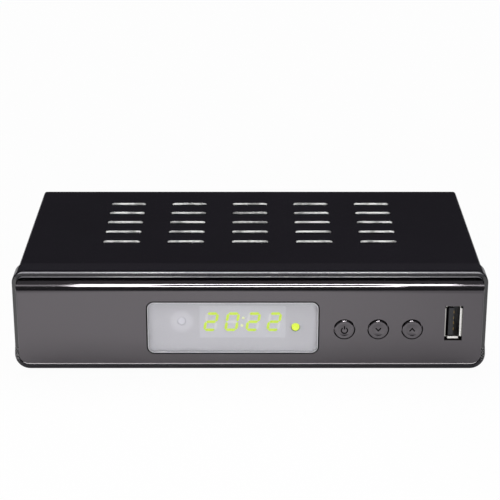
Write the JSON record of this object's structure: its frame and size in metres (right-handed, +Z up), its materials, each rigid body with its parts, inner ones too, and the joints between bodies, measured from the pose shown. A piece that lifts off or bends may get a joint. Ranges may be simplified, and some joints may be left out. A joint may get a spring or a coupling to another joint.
{
  "type": "digital TV receiver",
  "caption": "Slim digital TV set-top receiver with a slotted steel cover, moulded front with clock window, sprung push buttons and USB socket, and aerial and AV sockets at the rear.",
  "frame": {"origin": "on the table under the middle of the whole part's footprint", "axes": "+X to the right of the front, +Y from the front to the rear, +Z up"},
  "size_m": [0.18, 0.105, 0.0408],
  "materials": {
    "galvanised_steel": "bare zinc-coated sheet",
    "black_paint": "satin black paint",
    "bezel_plastic": "satin black moulding",
    "fascia_gloss": "glossy black",
    "window_lens": "clear lens with a silver-grey backing",
    "button_plastic": "glossy black",
    "pale_plastic": "natural nylon",
    "socket_plastic": "black moulding",
    "board_laminate": "green solder resist",
    "display_plastic": "light grey face",
    "lit_segment": "lit yellow-green",
    "unlit_segment": "milky, unlit",
    "lamp_epoxy": "tinted epoxy, lit",
    "filter_epoxy": "pale milky epoxy",
    "plated_shell": "bright nickel plate",
    "tongue_plastic": "grey moulding",
    "contact_gold": "gold flash",
    "chip_epoxy": "black moulding compound",
    "sink_aluminium": "black anodised",
    "tin_can": "tinned sheet",
    "capacitor_sleeve": "dark shrink sleeve",
    "ferrite": "matt sintered",
    "orange_plastic": "orange moulding",
    "black_screw": "black oxide",
    "bright_screw": "zinc plate",
    "foot_rubber": "matt black"
  },
  "bodies": {
    "receiver": {"bottom_chassis": "galvanised_steel", "top_cover": "black_paint", "front_bezel": "bezel_plastic", "fascia_plate": "fascia_gloss", "display_window": "window_lens", "button_switches": "socket_plastic", "front_board": "board_laminate", "display_module": "display_plastic", "lit_segments": "lit_segment", "unlit_segments": "unlit_segment", "status_led": "lamp_epoxy", "ir_receiver": "filter_epoxy", "usb_shell": "plated_shell", "usb_tongue": "tongue_plastic", "usb_contacts": "contact_gold", "main_board": "board_laminate", "link_housing": "socket_plastic", "link_pins": "contact_gold", "decoder_chip": "chip_epoxy", "heat_sink": "sink_aluminium", "memory_chip": "chip_epoxy", "flash_chip": "chip_epoxy", "crystal": "tin_can", "capacitors": "capacitor_sleeve", "inductors": "ferrite", "regulators": "chip_epoxy", "tuner_can": "tin_can", "aerial_input": "plated_shell", "aerial_input_insulator": "pale_plastic", "aerial_input_contact": "contact_gold", "aerial_output": "plated_shell", "aerial_output_insulator": "pale_plastic", "aerial_output_pin": "contact_gold", "audio_socket_body": "socket_plastic", "audio_socket_sleeve": "plated_shell", "audio_socket_insert": "orange_plastic", "video_socket_shell": "plated_shell", "video_socket_tongue": "socket_plastic", "av_socket_body": "socket_plastic", "av_socket_contacts": "contact_gold", "power_inlet": "socket_plastic", "power_inlet_pin": "plated_shell", "cover_screws": "black_screw", "front_board_screws": "bright_screw", "main_board_screws": "bright_screw", "rubber_feet": "foot_rubber"},
    "power_key": {"power_button": "button_plastic", "power_plunger": "pale_plastic"},
    "channel_down_key": {"channel_down_button": "button_plastic", "channel_down_plunger": "pale_plastic"},
    "channel_up_key": {"channel_up_button": "button_plastic", "channel_up_plunger": "pale_plastic"}
  },
  "joints": [
    {"name": "power_press", "type": "slide", "parent": "receiver", "child": "power_key", "axis": [0, 1, 0], "range_m": [0, 0.0005], "stiffness_N_per_m": 2000},
    {"name": "channel_down_press", "type": "slide", "parent": "receiver", "child": "channel_down_key", "axis": [0, 1, 0], "range_m": [0, 0.0005], "stiffness_N_per_m": 2000},
    {"name": "channel_up_press", "type": "slide", "parent": "receiver", "child": "channel_up_key", "axis": [0, 1, 0], "range_m": [0, 0.0005], "stiffness_N_per_m": 2000}
  ]
}
